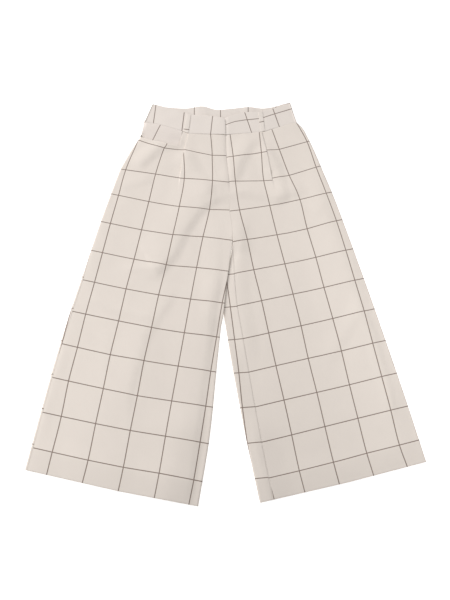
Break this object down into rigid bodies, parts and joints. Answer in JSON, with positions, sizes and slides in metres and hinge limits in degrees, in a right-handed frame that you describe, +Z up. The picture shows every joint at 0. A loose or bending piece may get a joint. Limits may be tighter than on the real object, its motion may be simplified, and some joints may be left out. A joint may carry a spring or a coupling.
{
  "type": "palazzo pants",
  "caption": "Cropped wide-leg trousers laid flat, front up, with pleats, belt loops, a tab waistband and an open pocket mouth, in a windowpane check.",
  "frame": {"origin": "middle of the bounding box, at the surface that the trousers lie on", "axes": "+Z up, out of the front side; +Y toward the waist; +X toward the wearer's left leg"},
  "size_m": [0.8134, 0.9282, 0.0099],
  "materials": {
    "cloth": "matt woven cloth with a thin brown windowpane check",
    "band": "the same cloth, doubled",
    "facing": "the same cloth",
    "loop": "the same cloth, folded",
    "zip": "woven tape",
    "metal": "satin"
  },
  "bodies": {
    "root": {"front_panel_right": "cloth", "front_panel_left": "cloth", "back_panel_right": "cloth", "back_panel_left": "cloth", "waistband_front_right": "band", "waistband_front_left": "band", "waistband_back": "band", "pocket_facing_right": "facing", "belt_loop_front_right": "loop", "belt_loop_front_left": "loop", "belt_loop_back_right": "loop", "belt_loop_back_left": "loop", "fly_zip": "zip", "waist_hook": "metal"}
  },
  "joints": []
}
